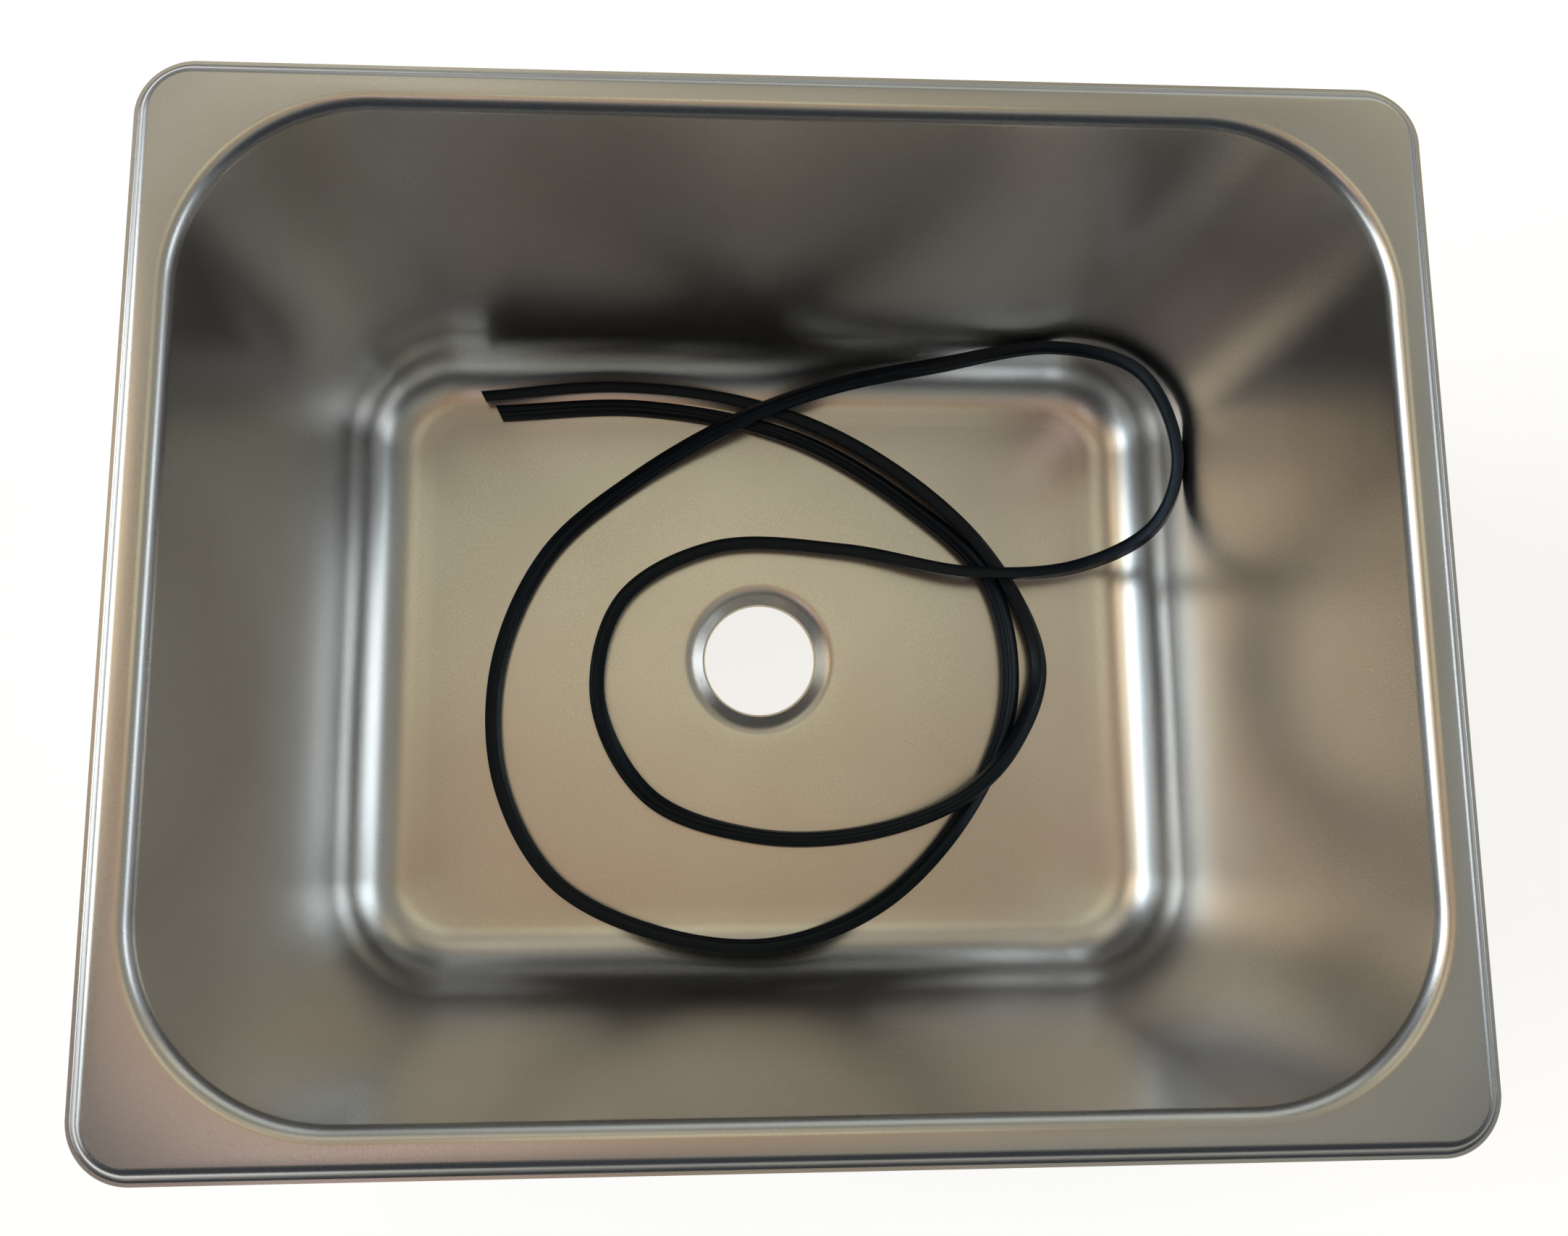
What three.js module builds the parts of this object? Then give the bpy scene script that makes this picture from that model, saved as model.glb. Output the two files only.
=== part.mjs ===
// Pressed stainless steel foot bath bowl with its loose rubber seal strip.
// Millimetres, +Z up. The origin is under the middle of the drain seat, the lowest face of the bowl.
// +X runs along the long side of the rim.
import * as THREE from "three";

// ---- bowl: driving dimensions -------------------------------------------------------------
const SHEET = 1.0; // steel thickness

const RIM_LENGTH = 420; // over the lip foot, along X
const RIM_WIDTH = 342; // over the lip foot, along Y
const RIM_CORNER = 19; // plan radius of the lip foot

const FOOT_WIDTH = 1.7; // flat foot outside the raised rim
const FOOT_BEND = 1.0; // hollow radius where the foot turns up
const LIP_SLOPE = 62; // degrees, the short face between foot and rim
const LIP_FACE = 2.9; // length of that face
const RIM_BEND = 1.8; // outer edge of the raised rim
const RIM_FLAT = 7.3; // flat top of the rim
const OPENING_ROLL = 3.0; // edge between rim and wall
const OPENING_CORNER = 60; // plan radius of the opening

const WALL_TAPER = 2.2; // degrees from upright
const WALL_LENGTH = 174.9; // straight wall, down the slope
const WALL_FOOT_CORNER = 50; // plan radius where the wall meets the floor fillet
const FLOOR_FILLET = 29;
const FLOOR_FALL = 0.5; // degrees, from the fillet to the drain

const DRAIN_HOLE = 26; // radius
const DRAIN_FLAT = 1.2; // flat ring round the hole
const DRAIN_HOLLOW = 1.0; // hollow radius between the ring and the dished face
const DRAIN_SLOPE = 30; // degrees, the dished face
const DRAIN_FACE = 6.3; // length of the dished face
const DRAIN_BEND = 4.0; // radius where the dish turns into the floor

// ---- seal strip: driving dimensions ---------------------------------------------------------
const STRIP_RADIUS = 3.0;
const STRIP_SIDES = 8;
const STRIP_STEPS = 78;

// The strip's middle line, from one cut end to the other.
const STRIP_ROUTE = [
  [-131, 125, 10.2], [-65, 130, 11.9], [4, 121, 9.6], [61, 94, 9.3],
  [109, 50, 9.2], [132, -2, 9.6], [118, -40, 14.4], [94, -64, 17.4],
  [49, -81, 10.2], [-4, -82, 9.2], [-52, -64, 9.0], [-76, -19, 9.0],
  [-65, 28, 8.9], [-22, 53, 8.9], [40, 52, 9.8], [100, 40, 17.4],
  [148, 42, 24.9], [177, 57, 45.9], [185, 85, 55.6], [173, 127, 49.0],
  [139, 144, 34.4], [83, 138, 22.5], [35, 129, 17.6], [-10, 112, 16.9],
  [-58, 85, 9.8], [-99, 49, 9.1], [-121, -3, 9.3], [-119, -57, 9.3],
  [-94, -101, 9.4], [-49, -124, 10.1], [5, -130, 11.9], [56, -111, 9.5],
  [98, -66, 9.1], [117, -17, 9.4], [109, 36, 9.4], [70, 75, 9.1],
  [15, 107, 9.4], [-55, 121, 9.6], [-124, 118, 9.5],
];

// ---- bowl: facets -------------------------------------------------------------------------
const CORNER_STEPS = 11; // facets in each plan corner
const LONG_SIDE_STEPS = 6; // facets along each long side
const SHORT_SIDE_STEPS = 5;
const BEND_STEP = 15; // degrees of bend for each facet of the section
const FLOOR_RING = 0.5; // one ring of facets halfway from the fillet to the dish

const radians = (degrees) => (degrees * Math.PI) / 180;

// A section is walked as a strip of sheet is bent, in straight runs and bends. Each station
// keeps how far it has come across, its height and its heading above the horizontal.
function walkSection(moves, start) {
  const stations = [];
  let { across, height, heading } = start;
  for (const { run = 0, turn = 0, radius } of moves) {
    if (run > 0) {
      across += run * Math.cos(radians(heading));
      height += run * Math.sin(radians(heading));
      stations.push({ across, height, heading });
      continue;
    }
    const steps = Math.ceil(Math.abs(turn) / BEND_STEP);
    const side = Math.sign(turn);
    const hubAcross = across - side * radius * Math.sin(radians(heading));
    const hubUp = height + side * radius * Math.cos(radians(heading));
    const from = heading;
    for (let step = 1; step <= steps; step += 1) {
      heading = from + (turn * step) / steps;
      across = hubAcross + side * radius * Math.sin(radians(heading));
      height = hubUp - side * radius * Math.cos(radians(heading));
      stations.push({ across, height, heading });
    }
  }
  return stations;
}

// One closed plan outline: a rectangle with round corners, counter-clockwise from +X.
function roundedOutline(halfLength, halfWidth, corner, z) {
  const points = [];
  const hubX = halfLength - corner;
  const hubY = halfWidth - corner;
  const hubs = [
    [hubX, hubY, SHORT_SIDE_STEPS],
    [-hubX, hubY, LONG_SIDE_STEPS],
    [-hubX, -hubY, SHORT_SIDE_STEPS],
    [hubX, -hubY, LONG_SIDE_STEPS],
  ];
  hubs.forEach(([x, y, sideSteps], quarter) => {
    const before = hubs[(quarter + 3) % 4];
    const startAngle = radians(90 * quarter);
    const sideStart = new THREE.Vector3(
      before[0] + corner * Math.cos(startAngle),
      before[1] + corner * Math.sin(startAngle),
      z,
    );
    const sideEnd = new THREE.Vector3(
      x + corner * Math.cos(startAngle),
      y + corner * Math.sin(startAngle),
      z,
    );
    for (let step = 1; step < sideSteps; step += 1) {
      points.push(sideStart.clone().lerp(sideEnd, step / sideSteps));
    }
    for (let step = 0; step <= CORNER_STEPS; step += 1) {
      const angle = startAngle + radians((90 * step) / CORNER_STEPS);
      points.push(new THREE.Vector3(x + corner * Math.cos(angle), y + corner * Math.sin(angle), z));
    }
  });
  return points;
}

// The same number of points evenly round a circle, in step with roundedOutline.
function circleOutline(radius, z) {
  const count = 4 * CORNER_STEPS + 2 * LONG_SIDE_STEPS + 2 * SHORT_SIDE_STEPS;
  const firstSide = SHORT_SIDE_STEPS / 2 - 1;
  return Array.from({ length: count }, (_, index) => {
    const angle = radians((360 * (index - firstSide)) / count);
    return new THREE.Vector3(radius * Math.cos(angle), radius * Math.sin(angle), z);
  });
}

// The bowl's section, in legs from the edge of the lip foot to the end of the floor fillet.
const footEdge = { across: 0, height: 0, heading: 0 };
const lip = [
  footEdge,
  ...walkSection([
    { run: FOOT_WIDTH },
    { turn: LIP_SLOPE, radius: FOOT_BEND },
    { run: LIP_FACE },
    { turn: -LIP_SLOPE, radius: RIM_BEND },
  ], footEdge),
];
const rim = walkSection([
  { run: RIM_FLAT },
  { turn: WALL_TAPER - 90, radius: OPENING_ROLL },
], lip.at(-1));
const wallTop = rim.at(-1);
const [wallFoot] = walkSection([{ run: WALL_LENGTH }], wallTop);
const fillet = walkSection([
  { turn: 90 - WALL_TAPER - FLOOR_FALL, radius: FLOOR_FILLET },
], wallFoot);

// The drain dish, walked outward from the hole up to the floor. Its seat is at height zero below.
const holeEdge = { across: DRAIN_HOLE, height: SHEET, heading: 0 };
const dish = [
  holeEdge,
  ...walkSection([
    { run: DRAIN_FLAT },
    { turn: DRAIN_SLOPE, radius: DRAIN_HOLLOW },
    { run: DRAIN_FACE },
    { turn: FLOOR_FALL - DRAIN_SLOPE, radius: DRAIN_BEND },
  ], holeEdge),
];

// The floor rises from the dish to the fillet, which sets the height of everything above it.
const floorEdge = fillet.at(-1);
const floorRun = RIM_LENGTH / 2 - floorEdge.across - dish.at(-1).across;
const floorHeight = dish.at(-1).height + floorRun * Math.tan(radians(FLOOR_FALL));
const footHeight = floorHeight - floorEdge.height;

// The lower skin lies one sheet thickness behind the upper one, square to it.
const skin = ({ across, height, heading }, depth) => ({
  across: across + depth * Math.sin(radians(heading)),
  height: height - depth * Math.cos(radians(heading)),
});

// Plan outline of one wall-side station. Its corner is set on the upper skin and moves with it.
function wallOutline(station, upperCorner, depth) {
  const { across, height } = skin(station, depth);
  return roundedOutline(
    RIM_LENGTH / 2 - across,
    RIM_WIDTH / 2 - across,
    upperCorner - (across - station.across),
    footHeight + height,
  );
}

// All outlines of one skin, from the hole outward.
function skinOutlines(depth) {
  const dishOutlines = dish.map((station) => {
    const { across, height } = skin(station, depth);
    return circleOutline(across, height);
  });
  const filletOutlines = fillet.map((station) => {
    const corner = WALL_FOOT_CORNER - (station.across - wallFoot.across);
    return wallOutline(station, corner, depth);
  }).reverse();
  const floorMiddle = filletOutlines[0].map((point, index) => (
    point.clone().lerp(dishOutlines.at(-1)[index], FLOOR_RING)
  ));
  const rimOutlines = rim.map((station) => {
    const corner = OPENING_CORNER + (wallTop.across - station.across);
    return wallOutline(station, corner, depth);
  }).reverse();
  const lipOutlines = lip.map((station) => {
    return wallOutline(station, RIM_CORNER - station.across, depth);
  }).reverse();
  return [
    ...dishOutlines,
    floorMiddle,
    ...filletOutlines,
    wallOutline(wallFoot, WALL_FOOT_CORNER, depth),
    ...rimOutlines,
    ...lipOutlines,
  ];
}

// A closed skin over outlines that go round in a loop, from the upper skin back by the lower.
function loftLoop(outlines) {
  const count = outlines[0].length;
  const positions = outlines.flat().flatMap((point) => point.toArray());
  const indices = [];
  outlines.forEach((_, ring) => {
    const next = (ring + 1) % outlines.length;
    for (let step = 0; step < count; step += 1) {
      const a = ring * count + step;
      const b = next * count + step;
      const c = next * count + ((step + 1) % count);
      const d = ring * count + ((step + 1) % count);
      indices.push(a, b, c, a, c, d);
    }
  });
  const geometry = new THREE.BufferGeometry();
  geometry.setAttribute("position", new THREE.Float32BufferAttribute(positions, 3));
  geometry.setIndex(indices);
  geometry.computeVertexNormals();
  return geometry;
}

function makeBowl() {
  const outlines = [...skinOutlines(0), ...skinOutlines(SHEET).reverse()];
  const steel = new THREE.MeshStandardMaterial({ color: 0xa59b82, metalness: 1, roughness: 0.35 });
  const bowl = new THREE.Mesh(loftLoop(outlines), steel);
  bowl.name = "bowl";
  return bowl;
}

function makeSealStrip() {
  const route = new THREE.CatmullRomCurve3(STRIP_ROUTE.map(([x, y, z]) => new THREE.Vector3(x, y, z)));
  const section = new THREE.Shape();
  for (let side = 0; side < STRIP_SIDES; side += 1) {
    const angle = radians((360 * side) / STRIP_SIDES);
    const x = STRIP_RADIUS * Math.cos(angle);
    const y = STRIP_RADIUS * Math.sin(angle);
    if (side === 0) {
      section.moveTo(x, y);
    } else {
      section.lineTo(x, y);
    }
  }
  const geometry = new THREE.ExtrudeGeometry(section, { steps: STRIP_STEPS, extrudePath: route });
  const rubber = new THREE.MeshStandardMaterial({ color: 0x0e1114, metalness: 0, roughness: 0.45 });
  const strip = new THREE.Mesh(geometry, rubber);
  strip.name = "seal_strip";
  return strip;
}

const footBath = new THREE.Group();
footBath.add(makeBowl(), makeSealStrip());

export default footBath;
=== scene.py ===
"""A pressed stainless steel foot bath bowl with its loose rubber seal strip, on a plain pale floor.

Metres and degrees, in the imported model's frame: the origin is under the middle of the drain seat,
+X runs along the long side of the rim and +Z is up out of the opening.
"""
import math
from collections import namedtuple

import bpy
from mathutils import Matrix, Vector


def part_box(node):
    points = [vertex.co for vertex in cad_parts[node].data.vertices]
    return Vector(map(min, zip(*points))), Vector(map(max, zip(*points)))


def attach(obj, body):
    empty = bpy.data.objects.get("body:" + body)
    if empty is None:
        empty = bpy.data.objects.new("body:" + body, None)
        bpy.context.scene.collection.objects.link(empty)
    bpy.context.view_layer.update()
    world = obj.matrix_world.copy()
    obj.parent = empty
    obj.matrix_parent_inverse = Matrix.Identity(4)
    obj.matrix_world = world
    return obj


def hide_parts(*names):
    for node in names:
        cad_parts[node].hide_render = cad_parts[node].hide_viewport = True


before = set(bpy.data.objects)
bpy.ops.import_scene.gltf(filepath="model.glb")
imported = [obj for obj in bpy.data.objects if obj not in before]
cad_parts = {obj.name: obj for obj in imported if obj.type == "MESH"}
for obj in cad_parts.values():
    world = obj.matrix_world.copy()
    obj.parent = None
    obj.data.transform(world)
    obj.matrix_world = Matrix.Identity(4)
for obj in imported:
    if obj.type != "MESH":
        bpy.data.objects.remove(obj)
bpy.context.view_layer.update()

# ---- camera ---------------------------------------------------------------------------------
CAMERA_PLACE = (-0.0349, -0.0614, 0.5804)
CAMERA_TILT = (8.0, -3.0, 0.1)  # degrees about X, then Y, then Z, from looking straight down
CAMERA_LENS = 28.19  # millimetres, on a sensor as wide as a full frame
SENSOR_WIDTH = 36
CAMERA_SHIFT = (0.0215, 0.0004)
NEAREST_SEEN = 0.01


def make_camera():
    data = bpy.data.cameras.new("camera")
    data.sensor_width = SENSOR_WIDTH
    data.lens = CAMERA_LENS
    data.shift_x, data.shift_y = CAMERA_SHIFT
    data.clip_start = NEAREST_SEEN
    camera = bpy.data.objects.new("camera", data)
    bpy.context.scene.collection.objects.link(camera)
    camera.rotation_mode = "ZYX"
    camera.location = CAMERA_PLACE
    camera.rotation_euler = [math.radians(angle) for angle in CAMERA_TILT]
    bpy.context.scene.camera = camera


# ---- meshes ---------------------------------------------------------------------------------
def new_piece(name, points, faces, material):
    mesh = bpy.data.meshes.new(name)
    mesh.from_pydata(points, [], faces)
    mesh.materials.append(material)
    mesh.update()
    piece = bpy.data.objects.new(name, mesh)
    bpy.context.scene.collection.objects.link(piece)
    return piece


def smooth(piece, sharp_angle):
    """Shades the piece smoothly, but leaves edges that bend by more than that many degrees sharp."""
    mesh = piece.data
    mesh.polygons.foreach_set("use_smooth", [True] * len(mesh.polygons))
    mesh.set_sharp_from_angle(angle=math.radians(sharp_angle))


# ---- node helpers ---------------------------------------------------------------------------
class Nodes:
    """Short calls for building one node tree."""

    def __init__(self, tree):
        self.tree = tree
        tree.nodes.clear()

    def add(self, kind, inputs=None, **settings):
        node = self.tree.nodes.new(kind)
        for name, value in settings.items():
            setattr(node, name, value)
        for name, value in (inputs or {}).items():
            self.put(node.inputs[name], value)
        return node

    def put(self, socket, value):
        """Links a socket to another one, or sets its own value."""
        if isinstance(value, bpy.types.NodeSocket):
            self.tree.links.new(value, socket)
        else:
            socket.default_value = value

    def math(self, operation, *values):
        node = self.add("ShaderNodeMath", operation=operation)
        for socket, value in zip(node.inputs, values):
            self.put(socket, value)
        return node.outputs[0]

    def noise(self, place, scale, detail=2.0, roughness=0.5):
        node = self.add(
            "ShaderNodeTexNoise",
            {"Vector": place, "Scale": scale, "Detail": detail, "Roughness": roughness},
        )
        return node.outputs["Fac"]

    def remap(self, value, low, high, out_low, out_high):
        """A smooth step, from out_low where the value is low to out_high where it is high."""
        node = self.add("ShaderNodeMapRange", interpolation_type="SMOOTHSTEP")
        for name, number in (
            ("Value", value),
            ("From Min", low),
            ("From Max", high),
            ("To Min", out_low),
            ("To Max", out_high),
        ):
            self.put(node.inputs[name], number)
        return node.outputs["Result"]

    def mix(self, share, first, second):
        """A colour between two others. The node has a set of sockets for every kind of data, so
        the colour ones are found by number."""
        node = self.add("ShaderNodeMix", data_type="RGBA")
        self.put(node.inputs[0], share)
        self.put(node.inputs[6], first)
        self.put(node.inputs[7], second)
        return node.outputs[2]

    def bump(self, height, distance, normal=None):
        node = self.add("ShaderNodeBump", {"Strength": 1.0, "Distance": distance})
        self.put(node.inputs["Height"], height)
        if normal is not None:
            self.put(node.inputs["Normal"], normal)
        return node.outputs["Normal"]


def new_material(name):
    material = bpy.data.materials.new(name)
    material.use_nodes = True
    return material, Nodes(material.node_tree)


# ---- materials ------------------------------------------------------------------------------
# The scale of a pattern is in features per metre, and a depth is in metres. A range is the part of
# a noise that the effect spreads over.
STEEL_COLOUR = (0.77, 0.76, 0.75, 1)
STEEL_STAIN = (0.73, 0.71, 0.69, 1)
STAIN_SCALE = 14
STAIN_RANGE = (0.35, 0.7)
STEEL_ROUGHNESS = (0.26, 0.35)
GRAIN_SCALE = 2600  # the fine satin grain, in the roughness and in the relief
GRAIN_RANGE = (0.2, 0.8)
GRAIN_DEPTH = 0.000008
PEEL_SCALE = 420  # the coarser unevenness that pressing leaves
PEEL_DEPTH = 0.00001


def satin_steel():
    material, nodes = new_material("steel")
    place = nodes.add("ShaderNodeTexCoord").outputs["Object"]
    clouds = nodes.noise(place, STAIN_SCALE, detail=4)
    grain = nodes.noise(place, GRAIN_SCALE, detail=2, roughness=0.6)
    peel = nodes.noise(place, PEEL_SCALE, detail=2)
    stain = nodes.remap(clouds, *STAIN_RANGE, 0, 1)
    colour = nodes.mix(stain, STEEL_COLOUR, STEEL_STAIN)
    roughness = nodes.remap(grain, *GRAIN_RANGE, *STEEL_ROUGHNESS)
    normal = nodes.bump(peel, PEEL_DEPTH)
    normal = nodes.bump(grain, GRAIN_DEPTH, normal=normal)
    surface = nodes.add(
        "ShaderNodeBsdfPrincipled",
        {"Base Color": colour, "Metallic": 1.0, "Roughness": roughness, "Normal": normal},
    )
    nodes.add("ShaderNodeOutputMaterial", {"Surface": surface.outputs[0]})
    return material


RUBBER_COLOUR = (0.0035, 0.0050, 0.0085, 1)
RUBBER_DUST = (0.012, 0.015, 0.020, 1)
DUST_SCALE = 900
DUST_RANGE = (0.58, 0.75)
RUBBER_ROUGHNESS = (0.34, 0.48)
RUBBER_SHINE = 0.38
RUBBER_SHINE_COLOUR = (0.62, 0.80, 1.0, 1)
SKIN_SCALE = 1500  # the skin of the extruded rubber, in the roughness and in the relief
SKIN_RANGE = (0.3, 0.7)
SKIN_DEPTH = 0.00003


def black_rubber():
    material, nodes = new_material("rubber")
    place = nodes.add("ShaderNodeTexCoord").outputs["Object"]
    specks = nodes.noise(place, DUST_SCALE, detail=5, roughness=0.7)
    dust = nodes.remap(specks, *DUST_RANGE, 0, 1)
    relief = nodes.noise(place, SKIN_SCALE, detail=3)
    colour = nodes.mix(dust, RUBBER_COLOUR, RUBBER_DUST)
    roughness = nodes.remap(relief, *SKIN_RANGE, *RUBBER_ROUGHNESS)
    surface = nodes.add(
        "ShaderNodeBsdfPrincipled",
        {
            "Base Color": colour,
            "Roughness": roughness,
            "Specular IOR Level": RUBBER_SHINE,
            "Specular Tint": RUBBER_SHINE_COLOUR,
            "Normal": nodes.bump(relief, SKIN_DEPTH),
        },
    )
    nodes.add("ShaderNodeOutputMaterial", {"Surface": surface.outputs[0]})
    return material


FLOOR_COLOUR = (0.86, 0.86, 0.86, 1)
FLOOR_GLOW = 0.78  # at least this much where the camera sees the floor, so that it looks pale
WINDOW_SIDE_GLOW = 0.95  # painted daylight, a glow on the floor that falls off along X
FAR_SIDE_GLOW = 0.04
DAYLIGHT_REACH = (-0.6, -0.1)  # from the window side's glow to the far side's


def pale_floor():
    material, nodes = new_material("pale_floor")
    matt = nodes.add("ShaderNodeBsdfDiffuse", {"Color": FLOOR_COLOUR})
    glow = nodes.add("ShaderNodeEmission", {"Color": FLOOR_COLOUR})
    place = nodes.add("ShaderNodeTexCoord").outputs["Object"]
    across = nodes.add("ShaderNodeSeparateXYZ", {"Vector": place}).outputs["X"]
    # Painted light: a glow standing in for daylight on the floor, bright on the window side and
    # fading towards the far side
    daylight = nodes.remap(across, *DAYLIGHT_REACH, WINDOW_SIDE_GLOW, FAR_SIDE_GLOW)
    seen = nodes.add("ShaderNodeLightPath").outputs["Is Camera Ray"]
    strength = nodes.math("MAXIMUM", nodes.math("MULTIPLY", seen, FLOOR_GLOW), daylight)
    nodes.put(glow.inputs["Strength"], strength)
    both = nodes.add("ShaderNodeAddShader")
    nodes.put(both.inputs[0], matt.outputs[0])
    nodes.put(both.inputs[1], glow.outputs[0])
    nodes.add("ShaderNodeOutputMaterial", {"Surface": both.outputs[0]})
    return material


# ---- bowl -----------------------------------------------------------------------------------
SHEET = 0.001  # steel thickness

RIM_LENGTH = 0.420  # over the lip foot, along X
RIM_WIDTH = 0.342  # over the lip foot, along Y
RIM_CORNER = 0.019  # plan radius of the lip foot

FOOT_WIDTH = 0.0010  # flat foot outside the raised rim
FOOT_BEND = 0.0012  # hollow radius where the foot turns up
LIP_SLOPE = 54  # degrees, the short face between foot and rim
LIP_FACE = 0.0022  # length of that face
RIM_BEND = 0.0040  # outer edge of the raised rim
RIM_CROWN = 2.5  # degrees, how far the top of the rim tips to either side
RIM_TOP = 0.00471  # width of the top of the rim
OPENING_ROLL = 0.0050  # edge between rim and wall
OPENING_CORNER = 0.060  # plan radius of the opening

WALL_TAPER = 2.2  # degrees from upright
WALL_LENGTH = 0.17287
WALL_RINGS = 24
WALL_FOOT_CORNER = 0.050  # plan radius where the wall meets the floor fillet
FLOOR_FILLET = 0.029
FLOOR_RAMP = 0.006  # the steeper margin of the floor, inside the fillet
RAMP_SLOPE = 2.5  # degrees
RAMP_BEND = 0.030  # where the ramp turns into the floor
FLOOR_FALL = 0.4  # degrees, from the ramp to the drain
FLOOR_RINGS = 16

DRAIN_HOLE = 0.026  # radius
DRAIN_FLAT = 0.0004  # flat ring round the hole
DRAIN_HOLLOW = 0.0015  # hollow radius between the flat ring and the dished face
DRAIN_SLOPE = 30  # degrees, the dished face
DRAIN_FACE = 0.0041  # length of that face
DRAIN_BEND = 0.0120  # where the dish turns into the floor

CORNER_STEPS = 26  # facets in each plan corner
LONG_SIDE_STEPS = 26
SHORT_SIDE_STEPS = 20
BEND_STEP = 4  # degrees of bend for each facet of the section
BOWL_SHARP_ANGLE = 35  # degrees

Station = namedtuple("Station", "across height heading")


def walk_section(moves, start):
    """Walks a section as a strip of sheet is bent, in straight runs (length, 0) and bends
    (radius, degrees), and gives a station after every step."""
    stations = []
    across, height, heading = start
    for size, turn in moves:
        if turn == 0:
            across += size * math.cos(math.radians(heading))
            height += size * math.sin(math.radians(heading))
            stations.append(Station(across, height, heading))
            continue
        steps = math.ceil(abs(turn) / BEND_STEP)
        side = math.copysign(1, turn)
        hub_across = across - side * size * math.sin(math.radians(heading))
        hub_up = height + side * size * math.cos(math.radians(heading))
        begin = heading
        for step in range(1, steps + 1):
            heading = begin + turn * step / steps
            across = hub_across + side * size * math.sin(math.radians(heading))
            height = hub_up - side * size * math.cos(math.radians(heading))
            stations.append(Station(across, height, heading))
    return stations


def rounded_outline(half_length, half_width, corner, z):
    """One closed plan outline, a rectangle with round corners, counter-clockwise from +X."""
    hub_x, hub_y = half_length - corner, half_width - corner
    hubs = [
        (hub_x, hub_y, SHORT_SIDE_STEPS),
        (-hub_x, hub_y, LONG_SIDE_STEPS),
        (-hub_x, -hub_y, SHORT_SIDE_STEPS),
        (hub_x, -hub_y, LONG_SIDE_STEPS),
    ]
    points = []
    for quarter, (x, y, side_steps) in enumerate(hubs):
        before_x, before_y, _ = hubs[quarter - 1]
        start = math.radians(90 * quarter)
        reach = Vector((corner * math.cos(start), corner * math.sin(start), 0))
        side_start = Vector((before_x, before_y, z)) + reach
        side_end = Vector((x, y, z)) + reach
        for step in range(1, side_steps):
            points.append(side_start.lerp(side_end, step / side_steps))
        for step in range(CORNER_STEPS + 1):
            angle = start + math.radians(90 * step / CORNER_STEPS)
            points.append(Vector((x + corner * math.cos(angle), y + corner * math.sin(angle), z)))
    return points


def circle_outline(radius, z):
    """As many points as rounded_outline gives, evenly round a circle and in step with it."""
    count = 4 * CORNER_STEPS + 2 * LONG_SIDE_STEPS + 2 * SHORT_SIDE_STEPS
    first_side = SHORT_SIDE_STEPS / 2 - 1
    points = []
    for index in range(count):
        angle = math.tau * (index - first_side) / count
        points.append(Vector((radius * math.cos(angle), radius * math.sin(angle), z)))
    return points


def skin(station, depth):
    """Across and height of the skin that lies that deep behind the upper one."""
    heading = math.radians(station.heading)
    return station.across + depth * math.sin(heading), station.height - depth * math.cos(heading)


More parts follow.
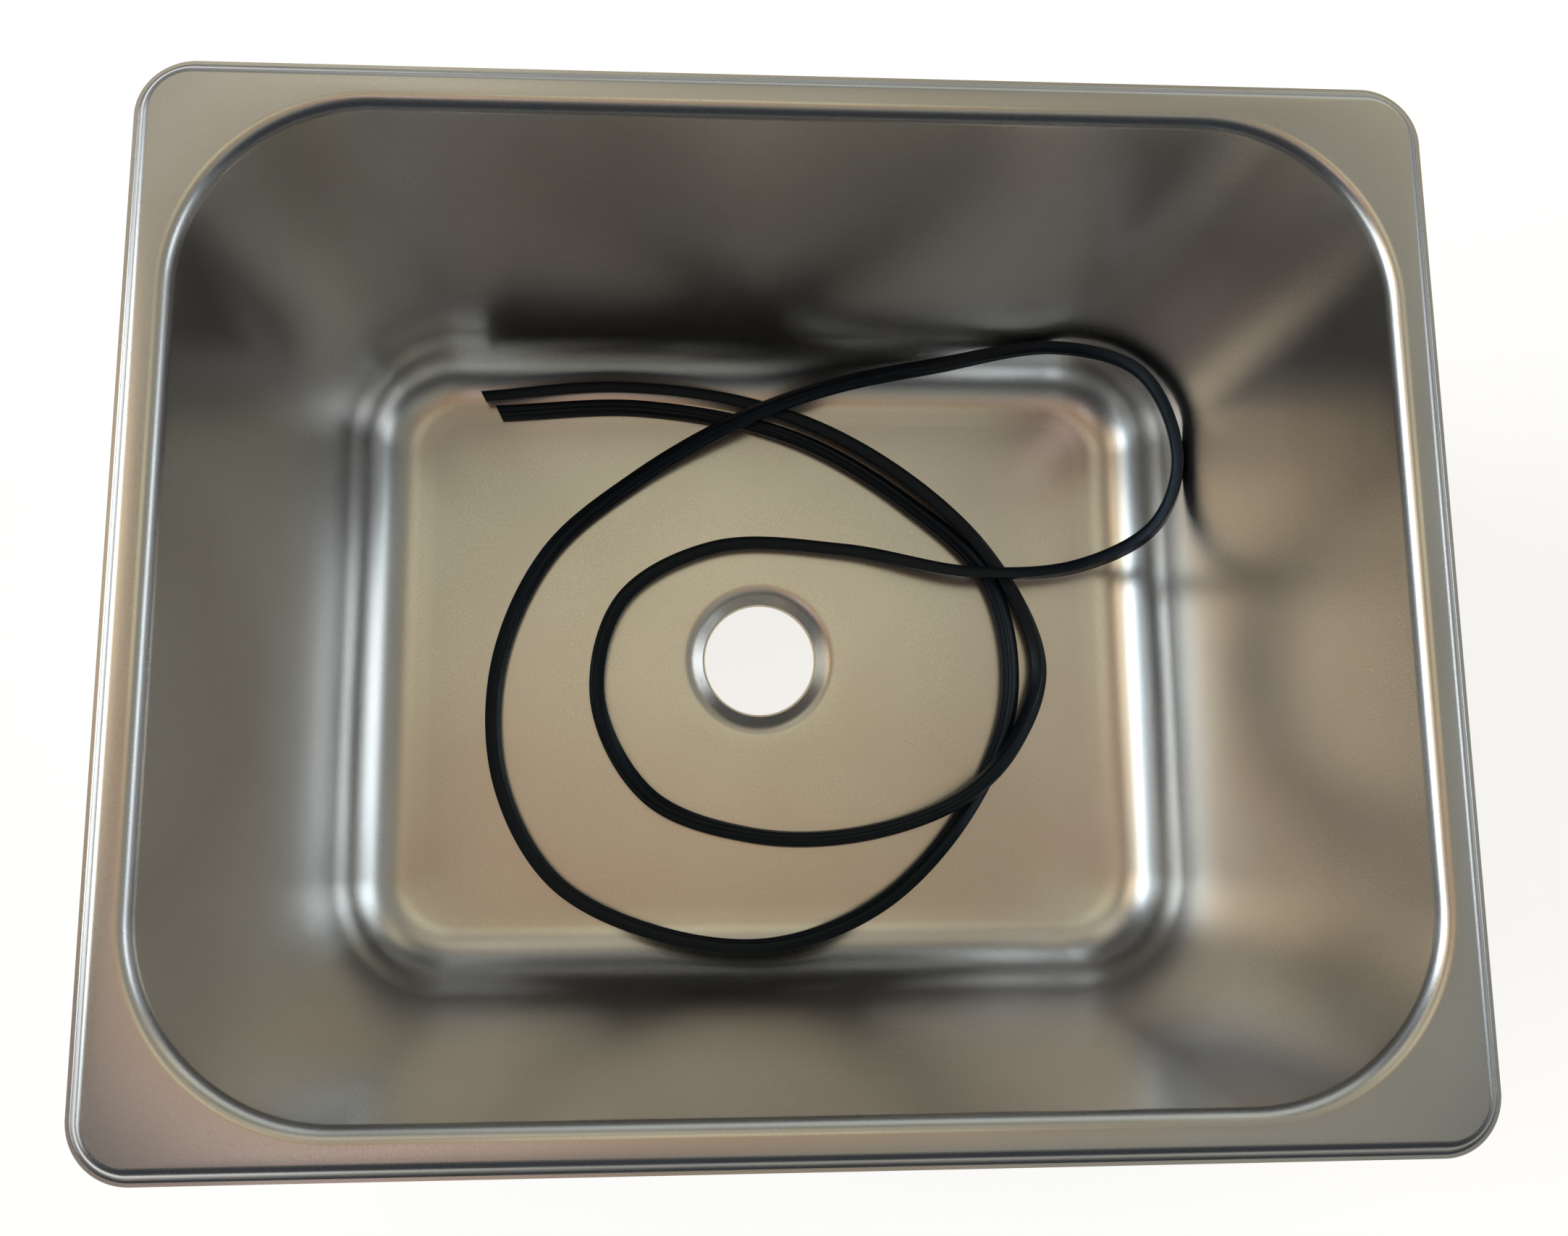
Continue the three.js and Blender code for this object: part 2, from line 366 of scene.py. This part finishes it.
def bowl_outlines(depth):
    """All outlines of one skin of the bowl, from the drain hole outward to the lip foot."""
    foot_edge = Station(0, 0, 0)
    lip = [foot_edge] + walk_section(
        [
            (FOOT_WIDTH, 0),
            (FOOT_BEND, LIP_SLOPE),
            (LIP_FACE, 0),
            (RIM_BEND, RIM_CROWN - LIP_SLOPE),
        ],
        foot_edge,
    )
    crown_radius = RIM_TOP / 2 / math.sin(math.radians(RIM_CROWN))
    rim_top = walk_section([(crown_radius, -RIM_CROWN)] * 2, lip[-1])
    roll = walk_section([(OPENING_ROLL, WALL_TAPER + RIM_CROWN - 90)], rim_top[-1])
    wall_top = roll[-1]
    wall = walk_section([(WALL_LENGTH / WALL_RINGS, 0)] * WALL_RINGS, wall_top)
    wall_foot = wall[-1]
    fillet = walk_section(
        [
            (FLOOR_FILLET, 90 - WALL_TAPER - RAMP_SLOPE),
            (FLOOR_RAMP, 0),
            (RAMP_BEND, RAMP_SLOPE - FLOOR_FALL),
        ],
        wall_foot,
    )
    hole_edge = Station(DRAIN_HOLE, SHEET, 0)
    dish = [hole_edge] + walk_section(
        [
            (DRAIN_FLAT, 0),
            (DRAIN_HOLLOW, DRAIN_SLOPE),
            (DRAIN_FACE, 0),
            (DRAIN_BEND, FLOOR_FALL - DRAIN_SLOPE),
        ],
        hole_edge,
    )
    foot_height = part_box("bowl")[1].z - max(station.height for station in rim_top)

    def outline(station, upper_corner):
        across, height = skin(station, depth)
        return rounded_outline(
            RIM_LENGTH / 2 - across,
            RIM_WIDTH / 2 - across,
            upper_corner - (across - station.across),
            foot_height + height,
        )

    def lip_corner(station):
        return RIM_CORNER - station.across

    def roll_corner(station):
        return OPENING_CORNER + wall_top.across - station.across

    def rim_corner(station):
        """Goes evenly from the lip's corner to the opening's across the top of the rim."""
        share = (station.across - lip[-1].across) / RIM_TOP
        return (1 - share) * lip_corner(lip[-1]) + share * roll_corner(rim_top[-1])

    def wall_corner(station):
        share = (station.height - wall_foot.height) / (wall_top.height - wall_foot.height)
        return WALL_FOOT_CORNER + share * (OPENING_CORNER - WALL_FOOT_CORNER)

    def fillet_corner(station):
        return WALL_FOOT_CORNER + wall_foot.across - station.across

    dish_outlines = []
    for station in dish:
        radius, height = skin(station, depth)
        dish_outlines.append(circle_outline(radius, height))
    lip_outlines = [outline(station, lip_corner(station)) for station in lip]
    rim_outlines = [outline(station, rim_corner(station)) for station in rim_top]
    roll_outlines = [outline(station, roll_corner(station)) for station in roll]
    wall_outlines = [outline(station, wall_corner(station)) for station in wall]
    fillet_outlines = [outline(station, fillet_corner(station)) for station in fillet]
    floor_outlines = []
    for ring in range(1, FLOOR_RINGS):
        share = ring / FLOOR_RINGS
        pairs = zip(fillet_outlines[-1], dish_outlines[-1])
        floor_outlines.append([outer.lerp(inner, share) for outer, inner in pairs])
    top_outlines = lip_outlines + rim_outlines + roll_outlines
    from_rim_in = top_outlines + wall_outlines + fillet_outlines + floor_outlines
    return dish_outlines + from_rim_in[::-1]


def loft_loop(outlines):
    """Points and faces of a closed skin over outlines that go round in a loop."""
    count = len(outlines[0])
    points = [point for outline in outlines for point in outline]
    faces = []
    for ring in range(len(outlines)):
        after = (ring + 1) % len(outlines)
        for step in range(count):
            beside = (step + 1) % count
            faces.append(
                (
                    ring * count + step,
                    after * count + step,
                    after * count + beside,
                    ring * count + beside,
                )
            )
    return points, faces


def make_bowl():
    points, faces = loft_loop(bowl_outlines(0) + bowl_outlines(SHEET)[::-1])
    bowl = new_piece("steel_bowl", points, faces, satin_steel())
    smooth(bowl, BOWL_SHARP_ANGLE)
    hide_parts("bowl")
    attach(bowl, "bowl")


# ---- seal strip -----------------------------------------------------------------------------
CAD_STRIP_RADIUS = 0.0030  # the strip is set down where the underside of that tube is
STRIP_STEP = 0.0025  # from one ring of the mesh to the next
END_SLANT = 22  # degrees, both cut ends
STRIP_SHARP_ANGLE = 24  # degrees

# Half of the section, from the middle of its flat base round to the middle of its top.
STRIP_SECTION = [
    (0.0000, 0.0000),
    (0.0020, 0.0000),
    (0.0034, 0.0000),
    (0.00365, 0.0003),
    (0.0036, 0.0012),
    (0.0033, 0.0030),
    (0.0030, 0.0042),
    (0.0025, 0.0049),
    (0.0018, 0.0052),
    (0.0011, 0.0052),
    (0.0007, 0.0049),
    (0.0000, 0.0048),
]
STRIP_SECTION_MIDDLE = 0.0026  # height of the middle line in the section

# The strip's middle line from one cut end to the other, and how many degrees it is twisted there
# from lying flat on its base.
STRIP_ROUTE = [
    (-0.131, 0.125, 0.0102, 75),
    (-0.065, 0.130, 0.0119, 75),
    (0.004, 0.121, 0.0096, 70),
    (0.061, 0.094, 0.0093, 65),
    (0.109, 0.050, 0.0092, 60),
    (0.132, -0.002, 0.0096, 50),
    (0.118, -0.040, 0.0144, 20),
    (0.094, -0.064, 0.0174, 0),
    (0.049, -0.081, 0.0102, 0),
    (-0.004, -0.082, 0.0092, 5),
    (-0.052, -0.064, 0.0090, 30),
    (-0.076, -0.019, 0.0090, 60),
    (-0.065, 0.028, 0.0089, 65),
    (-0.022, 0.053, 0.0089, 70),
    (0.040, 0.052, 0.0098, 75),
    (0.100, 0.040, 0.0174, 80),
    (0.148, 0.042, 0.0249, 100),
    (0.177, 0.057, 0.0459, 112),
    (0.185, 0.085, 0.0556, 112),
    (0.173, 0.127, 0.0490, 112),
    (0.139, 0.144, 0.0344, 100),
    (0.083, 0.138, 0.0225, 72),
    (0.035, 0.129, 0.0176, 45),
    (-0.010, 0.112, 0.0169, 40),
    (-0.058, 0.085, 0.0098, 45),
    (-0.099, 0.049, 0.0091, 60),
    (-0.121, -0.003, 0.0093, 70),
    (-0.119, -0.057, 0.0093, 75),
    (-0.094, -0.101, 0.0094, 75),
    (-0.049, -0.124, 0.0101, 75),
    (0.005, -0.130, 0.0119, 70),
    (0.056, -0.111, 0.0095, 60),
    (0.098, -0.066, 0.0091, 50),
    (0.117, -0.017, 0.0094, 45),
    (0.109, 0.036, 0.0094, 40),
    (0.070, 0.075, 0.0091, 30),
    (0.015, 0.107, 0.0094, 15),
    (-0.055, 0.121, 0.0096, 0),
    (-0.124, 0.118, 0.0095, 0),
]
ROUTE_STEPS = 40  # between two of those points


def smooth_route(points, steps):
    """A centripetal Catmull-Rom curve through the points."""
    ends = [2 * points[0] - points[1], *points, 2 * points[-1] - points[-2]]
    curve = []
    for before, start, end, after in zip(ends, ends[1:], ends[2:], ends[3:]):
        spans = [
            math.sqrt((b - a).to_3d().length)
            for a, b in ((before, start), (start, end), (end, after))
        ]
        leave = (start - before) / spans[0] - (end - before) / (spans[0] + spans[1])
        leave = (leave + (end - start) / spans[1]) * spans[1]
        arrive = (end - start) / spans[1] - (after - start) / (spans[1] + spans[2])
        arrive = (arrive + (after - end) / spans[2]) * spans[1]
        for step in range(steps):
            t = step / steps
            curve.append(
                (2 * t**3 - 3 * t**2 + 1) * start
                + (t**3 - 2 * t**2 + t) * leave
                + (3 * t**2 - 2 * t**3) * end
                + (t**3 - t**2) * arrive
            )
    curve.append(points[-1])
    return curve


def even_steps(curve, spacing):
    """The curve's points again, evenly spaced along it."""
    lengths = [0.0]
    for a, b in zip(curve, curve[1:]):
        lengths.append(lengths[-1] + (b - a).to_3d().length)
    count = round(lengths[-1] / spacing)
    points = []
    segment = 0
    for step in range(count + 1):
        along = lengths[-1] * step / count
        while segment < len(curve) - 2 and lengths[segment + 1] < along:
            segment += 1
        share = (along - lengths[segment]) / (lengths[segment + 1] - lengths[segment])
        points.append(curve[segment].lerp(curve[segment + 1], share))
    return points


def strip_profile():
    """The whole section, counter-clockwise, about its own middle."""
    right = [(across, up - STRIP_SECTION_MIDDLE) for across, up in STRIP_SECTION]
    left = [(-across, up) for across, up in right[-2:0:-1]]
    return right + left


def strip_rings():
    """The middle and the points of every ring of the strip's mesh."""
    knots = [Vector(knot) for knot in STRIP_ROUTE]
    line = even_steps(smooth_route(knots, ROUTE_STEPS), STRIP_STEP)
    profile = strip_profile()
    middles, rings = [], []
    for index, place in enumerate(line):
        before = line[max(index - 1, 0)].to_3d()
        after = line[min(index + 1, len(line) - 1)].to_3d()
        along = (after - before).normalized()
        side = along.cross(Vector((0, 0, 1))).normalized()
        up = side.cross(along)
        twist = math.radians(place.w)
        wide = side * math.cos(twist) + up * math.sin(twist)
        thick = up * math.cos(twist) - side * math.sin(twist)
        offsets = [wide * across + thick * height for across, height in profile]
        lowest = min(offset.dot(up) for offset in offsets)
        middle = place.to_3d() - up * (CAD_STRIP_RADIUS + lowest)
        slant = 0
        if index in (0, len(line) - 1):
            slant = math.tan(math.radians(END_SLANT))
        middles.append(middle)
        rings.append([middle + offset + along * slant * offset.dot(side) for offset in offsets])
    return middles, rings


def make_strip():
    middles, rings = strip_rings()
    count = len(rings[0])
    points = [point for ring in rings for point in ring]
    faces = []
    for ring in range(len(rings) - 1):
        for step in range(count):
            beside = (step + 1) % count
            faces.append(
                (
                    ring * count + step,
                    ring * count + beside,
                    (ring + 1) * count + beside,
                    (ring + 1) * count + step,
                )
            )
    faces.append(tuple(reversed(range(count))))
    faces.append(tuple(range(len(points) - count, len(points))))
    strip = new_piece("rubber_seal_strip", points, faces, black_rubber())
    smooth(strip, STRIP_SHARP_ANGLE)
    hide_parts("seal_strip")
    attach(strip, "seal_strip")


# ---- stage and light ------------------------------------------------------------------------
FLOOR_SIZE = 4.0


def make_floor():
    half = FLOOR_SIZE / 2
    corners = [(-half, -half, 0), (half, -half, 0), (half, half, 0), (-half, half, 0)]
    floor = new_piece("floor", corners, [(0, 1, 2, 3)], pale_floor())


ROOM_COLOUR = (0.66, 0.80, 1.0, 1)
ROOM_STRENGTH = 0.040

# Soft patches of light on the room round the bowl, each a rectangle with blurred edges: the azimuth
# of its middle from +X, how far that is down from overhead, half its width and half its height,
# the width of the blur, its colour and its strength. All angles are in degrees.
ROOM_LIGHTS = {
    "left window, top": (172, 50, 16, 5, 8, (0.97, 0.87, 0.68), 3.2),
    "left window, middle": (172, 60, 16, 5, 8, (0.66, 0.85, 1.00), 5.2),
    "left window, foot": (172, 70, 16, 5, 8, (0.92, 0.98, 1.00), 3.9),
    "left curtain": (201, 67, 8, 6, 10, (0.97, 1.00, 0.97), 1.8),
    "warm lamp, high left": (165, 35, 18, 3, 6, (1.00, 0.75, 0.43), 2.6),
    "left of the back wall": (120, 40, 20, 10, 14, (1.00, 0.92, 0.72), 0.52),
    "back wall": (76, 66, 30, 13, 20, (0.88, 0.93, 0.82), 0.50),
    "top of the back wall": (86, 31, 34, 9, 12, (1.00, 0.87, 0.62), 0.45),
    "right of the back wall": (45, 55, 14, 12, 14, (1.00, 0.85, 0.52), 0.46),
    "right window": (6, 60, 15, 7, 10, (0.86, 0.96, 1.00), 2.4),
    "right wall": (2, 33, 44, 11, 16, (1.00, 0.98, 0.80), 0.24),
    "ceiling": (0, 4, 180, 14, 14, (1.00, 0.46, 0.10), 0.29),
    "left of the ceiling": (180, 20, 22, 6, 12, (1.00, 0.50, 0.15), 0.20),
    "back of the ceiling": (84, 10, 70, 7, 10, (0.86, 1.00, 0.76), 0.73),
    "front right of the ceiling": (300, 22, 32, 12, 16, (0.98, 1.00, 0.84), 0.26),
    "low, behind and to the sides": (70, 78, 100, 8, 24, (0.92, 0.95, 1.00), 0.30),
    "front left of the ceiling": (225, 19, 18, 6, 16, (1.00, 0.80, 0.74), 1.22),
}


def make_room():
    world = bpy.data.worlds.new("room")
    world.use_nodes = True
    nodes = Nodes(world.node_tree)
    direction = nodes.add("ShaderNodeTexCoord").outputs["Generated"]
    split = nodes.add("ShaderNodeSeparateXYZ", {"Vector": direction}).outputs
    azimuth = nodes.math("DEGREES", nodes.math("ARCTAN2", split["Y"], split["X"]))
    from_top = nodes.math("DEGREES", nodes.math("ARCCOSINE", split["Z"]))

    def band(angle, middle, half, blur):
        """1 within half of the middle, and 0 past the blur."""
        apart = nodes.math("WRAP", nodes.math("SUBTRACT", angle, middle), 180, -180)
        aside = nodes.math("ABSOLUTE", apart)
        return nodes.remap(aside, half - blur / 2, half + blur / 2, 1, 0)

    glow = nodes.add("ShaderNodeBackground", {"Color": ROOM_COLOUR, "Strength": ROOM_STRENGTH})
    total = glow.outputs[0]
    for middle, down, half_width, half_height, blur, colour, strength in ROOM_LIGHTS.values():
        across = band(azimuth, middle, half_width, blur)
        upward = band(from_top, down, half_height, blur)
        light = nodes.add("ShaderNodeBackground", {"Color": (*colour, 1)})
        share = nodes.math("MULTIPLY", across, upward)
        nodes.put(light.inputs["Strength"], nodes.math("MULTIPLY", share, strength))
        both = nodes.add("ShaderNodeAddShader")
        nodes.put(both.inputs[0], total)
        nodes.put(both.inputs[1], light.outputs[0])
        total = both.outputs[0]
    nodes.add("ShaderNodeOutputWorld", {"Surface": total})
    bpy.context.scene.world = world


bpy.context.scene.view_settings.view_transform = "Standard"
make_camera()
make_strip()
make_bowl()
make_floor()
make_room()
